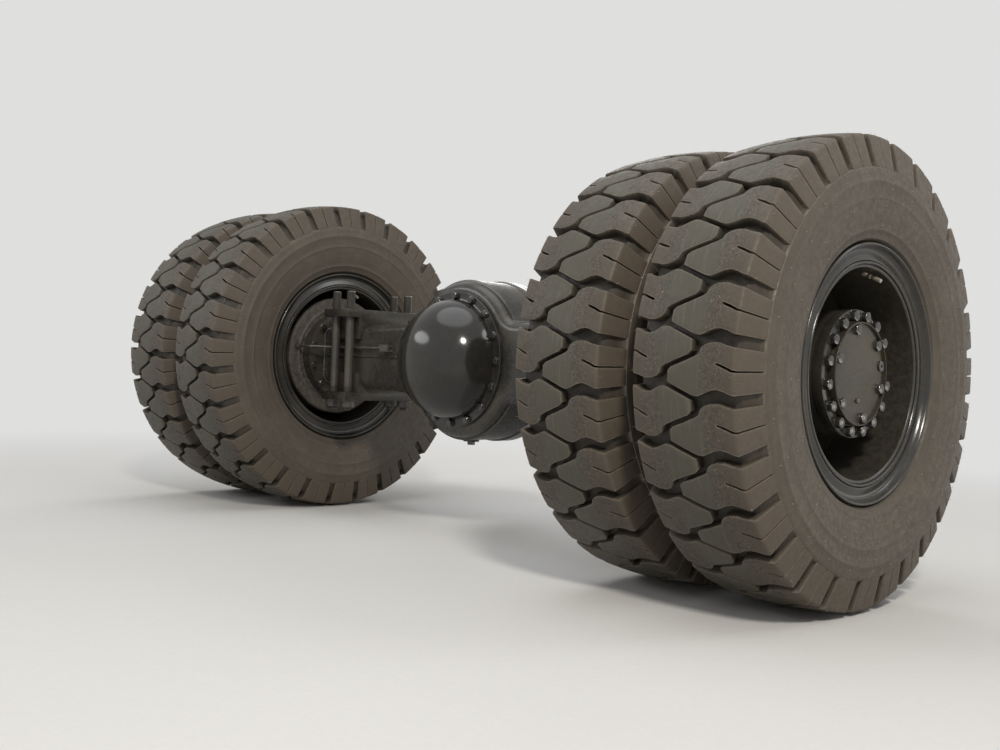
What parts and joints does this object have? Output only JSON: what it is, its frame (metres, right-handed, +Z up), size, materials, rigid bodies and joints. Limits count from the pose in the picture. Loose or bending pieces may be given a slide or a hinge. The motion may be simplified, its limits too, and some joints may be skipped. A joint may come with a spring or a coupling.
{
  "type": "twin-wheel drive axle",
  "caption": "Drive axle from a side loader forklift, with paired tyred wheels on hub reduction ends, brake drums and chassis clamp pads.",
  "frame": {"origin": "middle of the chassis studs, on the plane of the chassis pads' tops", "axes": "+X along the vehicle towards its drive shaft, +Y along the axle towards the left wheels, +Z up"},
  "size_m": [1.1352, 2.779, 1.1352],
  "materials": {
    "axle_paint": "black chassis paint over cast and pressed steel",
    "bolt_steel": "hexagon heads painted over in black, edges worn bright",
    "cover_cast": "rough cast cover under worn black paint",
    "drum_iron": "dusty cast iron",
    "hub_paint": "glossy black paint over machined and cast iron",
    "pipe_metal": "dull grey zinc coating with dust",
    "rim_paint": "glossy black paint with a little dust",
    "tyre_rubber": "dusty dark tyre rubber, lighter on the worn lugs",
    "valve_metal": "dull plated brass stem with a bright cap"
  },
  "bodies": {
    "axle": {"axle_housing": "axle_paint", "rear_dome": "axle_paint", "rear_dome_bolts": "bolt_steel", "diff_carrier": "axle_paint", "diff_carrier_bolts": "bolt_steel", "pinion_cage": "axle_paint", "pinion_cage_bolts": "bolt_steel", "housing_plugs": "bolt_steel", "left_chassis_pad": "axle_paint", "left_clamp_saddle": "axle_paint", "left_clamp_studs": "bolt_steel", "left_spindle": "axle_paint", "left_end_flange_bolts": "bolt_steel", "left_brake_backing": "drum_iron", "left_brake_pipe": "pipe_metal", "right_chassis_pad": "axle_paint", "right_clamp_saddle": "axle_paint", "right_clamp_studs": "bolt_steel", "right_spindle": "axle_paint", "right_end_flange_bolts": "bolt_steel", "right_brake_backing": "drum_iron", "right_brake_pipe": "pipe_metal"},
    "left_wheels": {"left_hub": "hub_paint", "left_brake_drum": "drum_iron", "left_hub_ring": "hub_paint", "left_hub_ring_bolts": "bolt_steel", "left_hub_cover": "cover_cast", "left_hub_cover_bolts": "bolt_steel", "left_wheel_nuts": "bolt_steel", "left_inner_rim": "rim_paint", "left_inner_side_ring": "rim_paint", "left_inner_tyre": "tyre_rubber", "left_inner_valve": "valve_metal", "left_outer_rim": "rim_paint", "left_outer_side_ring": "rim_paint", "left_outer_tyre": "tyre_rubber", "left_outer_valve": "valve_metal"},
    "right_wheels": {"right_hub": "hub_paint", "right_brake_drum": "drum_iron", "right_hub_ring": "hub_paint", "right_hub_ring_bolts": "bolt_steel", "right_hub_cover": "cover_cast", "right_hub_cover_bolts": "bolt_steel", "right_wheel_nuts": "bolt_steel", "right_inner_rim": "rim_paint", "right_inner_side_ring": "rim_paint", "right_inner_tyre": "tyre_rubber", "right_inner_valve": "valve_metal", "right_outer_rim": "rim_paint", "right_outer_side_ring": "rim_paint", "right_outer_tyre": "tyre_rubber", "right_outer_valve": "valve_metal"},
    "drive_flange": {"input_flange": "axle_paint"}
  },
  "joints": [
    {"name": "left_wheels_turn", "type": "hinge", "parent": "axle", "child": "left_wheels", "pos_m": [0, 1.051, -0.165], "axis": [0, 1, 0], "continuous": true},
    {"name": "right_wheels_turn", "type": "hinge", "parent": "axle", "child": "right_wheels", "pos_m": [0, -1.051, -0.165], "axis": [0, 1, 0], "continuous": true},
    {"name": "drive_flange_turn", "type": "hinge", "parent": "axle", "child": "drive_flange", "pos_m": [0.36, 0, -0.165], "axis": [1, 0, 0], "continuous": true}
  ]
}
